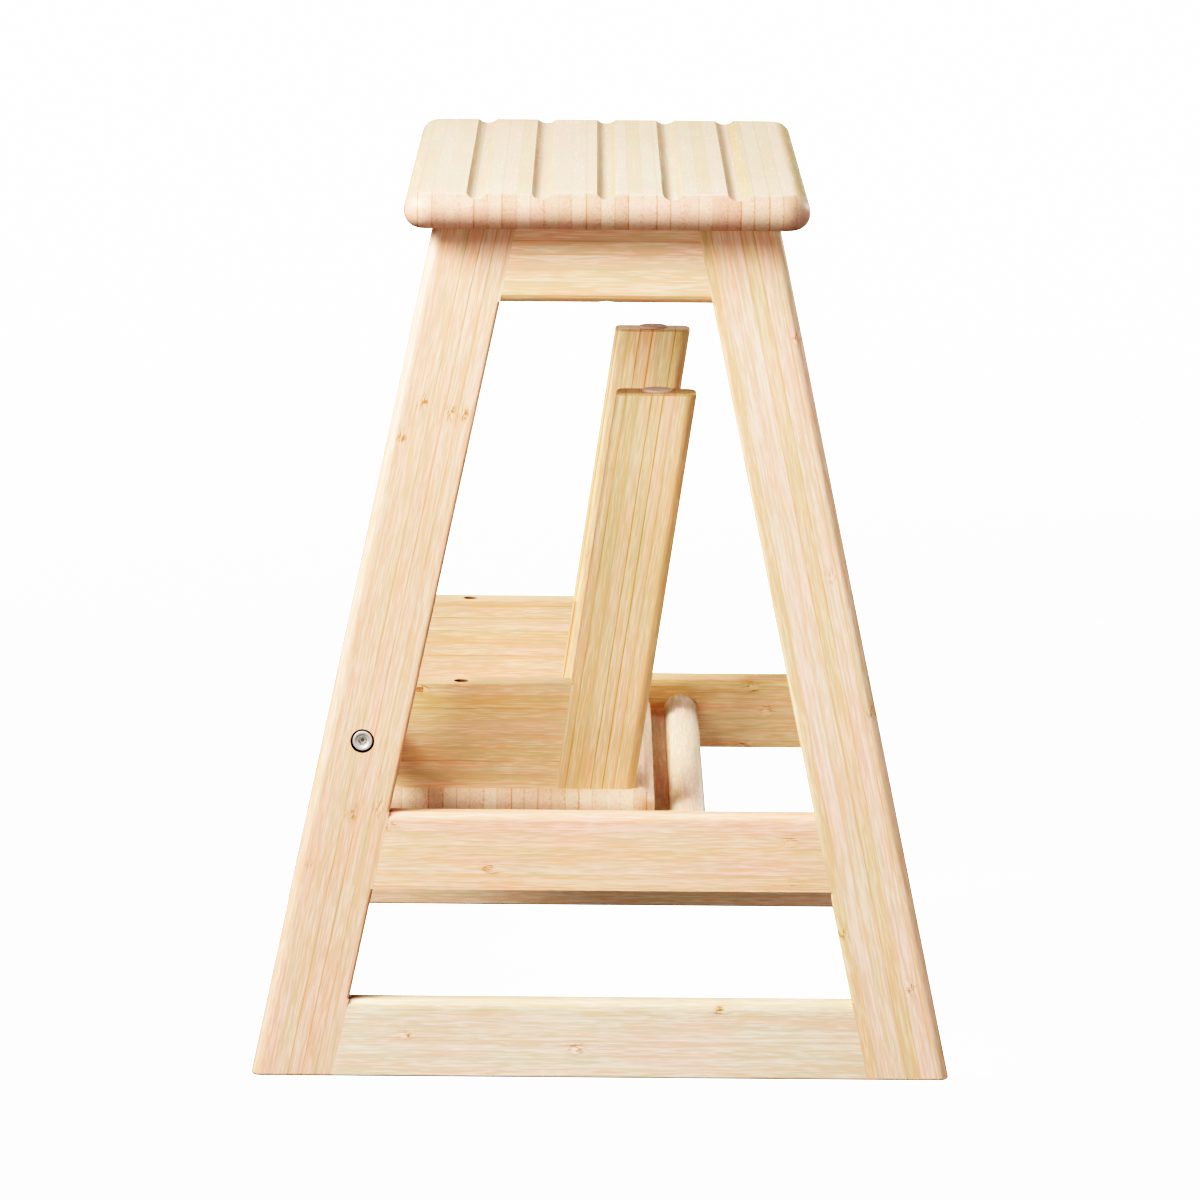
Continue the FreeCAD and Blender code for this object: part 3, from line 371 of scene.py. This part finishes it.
# mean colour of each piece's boards, fitted piece by piece: besides the wood's own tone this holds painted light and
# shade, as near and far copies of a piece are made paler or darker where the lamps light them unlike the real stool
PIECE_TONE_AND_LIGHT = {
    "right_front_leg": (0.782, 0.533, 0.381), "left_front_leg": (0.782, 0.533, 0.381),
    "right_rear_leg": (0.866, 0.615, 0.463), "left_rear_leg": (0.866, 0.615, 0.463),
    "right_bottom_rail": (0.797, 0.653, 0.50), "left_bottom_rail": (0.797, 0.600, 0.44),
    "right_middle_rail": (0.850, 0.564, 0.422), "left_middle_rail": (0.900, 0.635, 0.405),
    "right_top_rail": (0.930, 0.650, 0.480), "left_top_rail": (0.850, 0.580, 0.400),
    "right_step_leg": (0.784, 0.574, 0.381), "left_step_leg": (0.842, 0.631, 0.422),
    "right_step_rail": (0.809, 0.593, 0.400), "left_step_rail": (0.724, 0.537, 0.385),
    "seat_board": (0.690, 0.558, 0.405), "step_board": (0.776, 0.596, 0.460),
    "rear_cross_rail": (0.832, 0.700, 0.561), "step_rest_rail": (0.72, 0.50, 0.34),
}
seed = 1.0
for side, sx in (("right", 1.0), ("left", -1.0)):
    lean = Vector((-sx * math.sin(SPLAY), 0.0, math.cos(SPLAY)))     # up the slope of a side frame
    for end, sy in (("front", -1.0), ("rear", 1.0)):
        seed += 1.0
        up = lean + Vector((0.0, -sy * 0.2095, 0.0))
        # the front legs get a dark ring round the pivot bore: painted shade of the gap round the bolt head, with grime
        give("%s_%s_leg" % (side, end), bamboo("bamboo_%s_%s_leg" % (side, end), (sx * 0.2, sy * 0.175, 0.0), up, (0.0, sy, 0.0), seed,
                                               base=PIECE_TONE_AND_LIGHT["%s_%s_leg" % (side, end)], lines=0.75, strips=1.1, edge=0.35, knots=1.2,
                                               shade_and_grime_ring=(PIVOT[0], PIVOT[1], 0.0065) if end == "front" else None))
    for which, z in (("bottom", 0.0), ("middle", 0.107), ("top", 0.437)):
        seed += 1.0
        give("%s_%s_rail" % (side, which), bamboo("bamboo_%s_%s_rail" % (side, which), (sx * 0.2, 0.0, z), (0.0, 1.0, 0.0), lean, seed,
                                                  base=PIECE_TONE_AND_LIGHT["%s_%s_rail" % (side, which)], lines=0.7 if which == "top" else 0.3, strips=0.7,
                                                  edge=1.0 if which == "top" else 0.35, knots=1.8,
                                                  fibres=1.25 if which == "top" else 1.0))
    seed += 1.0
    up = Vector((0.0, 0.145, 1.0))
    give("%s_step_leg" % side, bamboo("bamboo_%s_step_leg" % side, (sx * 0.125, -0.01, 0.15), up, (0.0, 1.0, 0.0), seed,
                                      base=PIECE_TONE_AND_LIGHT["%s_step_leg" % side], pitch=0.0070, lines=2.0, edge=0.9, strips=1.0, olive=0.8, end_tone=(0.70, 0.66, 0.60)))
    seed += 1.0
    # the step rails get painted shade inside their screw bores
    give("%s_step_rail" % side, bamboo("bamboo_%s_step_rail" % side, (sx * 0.125, 0.0, 0.15), (0.0, 1.0, 0.0), (0.0, 0.0, 1.0), seed,
                                       base=PIECE_TONE_AND_LIGHT["%s_step_rail" % side], lines=0.7, fibres=1.2, strips=1.2, edge=0.9, knots=1.6,
                                       pit=(sx * 0.125, -0.0811, 0.0043, 0.2111)))

give("seat_board", bamboo("bamboo_seat", (0.0, 0.0, 0.49), (1.0, 0.0, 0.0), (0.0, 1.0, 0.0), 31.0,
                          base=PIECE_TONE_AND_LIGHT["seat_board"], strips=1.5, fibres=2.6, lines=0.5, edge=0.8, knots=0.3,
                          end_tone=(0.937, 0.805, 0.85)))
give("step_board", bamboo("bamboo_step_board", (0.0, 0.0, 0.14), (1.0, 0.0, 0.0), (0.0, 1.0, 0.0), 37.0, base=PIECE_TONE_AND_LIGHT["step_board"], strips=0.8, lines=0.3))
give("rear_cross_rail", bamboo("bamboo_cross_rail", (0.0, 0.05, 0.11), (1.0, 0.0, 0.0), (0.0, 0.0, 1.0), 41.0, base=PIECE_TONE_AND_LIGHT["rear_cross_rail"], knots=0.6))
give("step_rest_rail", bamboo("bamboo_rest_rail", (0.0, 0.02, 0.11), (1.0, 0.0, 0.0), (0.0, 1.0, 0.0), 43.0, base=PIECE_TONE_AND_LIGHT["step_rest_rail"], knots=0.6))
dowel = bamboo("dowel_wood", (0.0, 0.0, 0.0), (0.0, 1.0, 0.0), (0.0, 0.0, 1.0), 47.0, pitch=0.02)
for n in nodes:
    if "dowels" in n:
        give(n, dowel)


# ------------------------------------------------------------------ steel, plastic, pads
def plain(name, base, rough, metal=0.0, spec=0.5, grain=600.0, vary=0.12, bump=0.00005, axis=None, painted_light_zones=()):
    """A machined or moulded surface: colour mottling, uneven gloss and a fine bump.

    With an axis, the mottling follows turned rings, and the brightness steps, given as (radius, brightness) from the
    middle out, paint shade in the middle socket and highlights on the rings round it and on the rim."""
    mat = bpy.data.materials.new(name)
    mat.use_nodes = True
    tree = mat.node_tree
    tree.nodes.clear()
    g = Net(tree)
    coord = g.new("ShaderNodeTexCoord").outputs["Object"]
    tone = None
    if axis is not None:
        # rings left by turning round the X axis through this point
        d = g.vm("SUBTRACT", coord, (0.0, axis[0], axis[1]))
        x, y, z = g.split(d)
        r = g.m("SQRT", g.m("ADD", g.m("MULTIPLY", y, y), g.m("MULTIPLY", z, z)))
        rings = g.noise(None, scale=1.0, detail=2.0, rough=0.6, dims="1D", w=g.m("MULTIPLY", r, 2600.0))
        fine = g.noise(coord, scale=grain, detail=3.0)
        pattern = g.m("ADD", g.m("MULTIPLY", rings, 0.75), g.m("MULTIPLY", fine, 0.25))
        # painted light: the steps darken the middle socket as shade and brighten the rings round it and the rim as
        # highlights
        for radius, value in painted_light_zones:
            step = g.ramp(r, radius - 0.0001, radius + 0.0001)
            tone = g.lerp(step, 1.0 if tone is None else tone, value)
    else:
        pattern = g.noise(coord, scale=grain, detail=4.0, rough=0.6)
    wide = g.noise(coord, scale=90.0, detail=2.0)
    shader = g.new("ShaderNodeBsdfPrincipled")
    dark = tuple(c * (1.0 - vary) for c in srgb(*base)[:3]) + (1.0,)
    lite = tuple(min(1.0, c * (1.0 + vary)) for c in srgb(*base)[:3]) + (1.0,)
    color = g.mix(g.m("ADD", g.m("MULTIPLY", pattern, 0.7), g.m("MULTIPLY", wide, 0.3)), dark, lite)
    if tone is not None:
        color = g.mix(1.0, color, g.xyz(tone, tone, tone), "MULTIPLY")
    g.put(shader.inputs["Base Color"], color)
    g.put(shader.inputs["Roughness"], g.m("ADD", rough - 0.1, g.m("MULTIPLY", pattern, 0.2)))
    shader.inputs["Metallic"].default_value = metal
    shader.inputs["Specular IOR Level"].default_value = spec
    b = g.new("ShaderNodeBump")
    b.inputs["Strength"].default_value = 0.5
    b.inputs["Distance"].default_value = bump
    g.put(b.inputs["Height"], pattern)
    g.put(shader.inputs["Normal"], b.outputs[0])
    o = g.new("ShaderNodeOutputMaterial")
    g.put(o.inputs["Surface"], shader.outputs[0])
    return mat


# the bolt head's brightness steps are painted shade in the socket and painted highlights on the rings and rim
steel = plain("turned_steel", (196, 188, 180), 0.5, metal=0.35, vary=0.22, axis=PIVOT, grain=1500.0,
              painted_light_zones=((0.0, 0.4), (0.0010, 1.3), (0.0018, 0.95), (0.0046, 1.08)))
zinc = plain("zinc_screws", (150, 147, 142), 0.4, metal=1.0, grain=1800.0)
nylon = plain("nylon", (226, 220, 205), 0.5, grain=900.0, vary=0.05)
felt = plain("felt_pad", (196, 170, 156), 0.95, spec=0.1, grain=2600.0, vary=0.25, bump=0.0006)
for side in ("right", "left"):
    give(side + "_pivot_bolt", steel)
    give(side + "_pivot_spacer", nylon)
    give(side + "_step_foot_pad", felt)
give("pivot_washers", nylon)
give("pivot_lock_nuts", zinc)
give("seat_screws", zinc)
give("step_screws", zinc)


# ------------------------------------------------------------------ floor and light
def make_stage():
    """A white sweep: it shows as white paper and leaves the fill light to the lamps."""
    mesh = bpy.data.meshes.new("floor")
    s = 14.0
    mesh.from_pydata([(-s, -s, 0), (s, -s, 0), (s, s, 0), (-s, s, 0)], [], [(0, 1, 2, 3)])
    floor = bpy.data.objects.new("floor", mesh)
    floor.location = (0.0, 0.0, -0.0002)
    floor.visible_diffuse = False
    floor.visible_glossy = False
    floor.visible_shadow = False
    scene.collection.objects.link(floor)
    mat = bpy.data.materials.new("floor_paper")
    mat.use_nodes = True
    g = Net(mat.node_tree)
    shader = mat.node_tree.nodes["Principled BSDF"]
    coord = g.new("ShaderNodeTexCoord").outputs["Object"]
    n = g.noise(coord, scale=3.0, detail=3.0)
    g.put(shader.inputs["Base Color"], g.mix(n, (0.86, 0.86, 0.855, 1.0), (0.885, 0.885, 0.88, 1.0)))
    shader.inputs["Roughness"].default_value = 0.8
    shader.inputs["Specular IOR Level"].default_value = 0.0
    shader.inputs["Emission Color"].default_value = (1.0, 1.0, 1.0, 1.0)
    shader.inputs["Emission Strength"].default_value = 5.0
    mesh.materials.append(mat)


REACH = 1.7                                       # lamps stand this far from the stool's middle
MIDDLE = Vector((0.0, 0.0, 0.25))


def lamp(name, azimuth, elevation, strength, size=0.6):
    """A square soft box. Azimuth in degrees from +X towards +Y; strength 1 gives a facing surface its own albedo."""
    a, e = math.radians(azimuth), math.radians(elevation)
    way = Vector((math.cos(e) * math.cos(a), math.cos(e) * math.sin(a), math.sin(e)))
    data = bpy.data.lights.new(name, "AREA")
    data.shape = "SQUARE"
    data.size = size
    data.energy = 1.11 * strength * math.pi ** 2 * REACH ** 2
    obj = bpy.data.objects.new(name, data)
    scene.collection.objects.link(obj)
    obj.location = MIDDLE + way * REACH
    obj.rotation_mode = "QUATERNION"
    obj.rotation_quaternion = (-way).to_track_quat("-Z", "Y")


make_stage()
for name, azimuth, elevation, strength in (
    ("key", 300, 40, 2.04), ("key_side", 330, 40, 0.86), ("key_low", 300, 22, 0.39),
    ("back_right", 120, 22, 0.86), ("back_low", 150, 5, 0.23), ("back_high", 180, 40, 0.37),
    ("top", 144, 75, 0.17), ("fill_low", 0, -35, 0.23), ("fill_right", 30, 5, 0.41),
):
    lamp(name, azimuth, elevation, strength)
world = bpy.data.worlds.new("studio")
scene.world = world
world.use_nodes = True
world.node_tree.nodes["Background"].inputs[0].default_value = (1.0, 1.0, 1.0, 1.0)
world.node_tree.nodes["Background"].inputs[1].default_value = 0.02
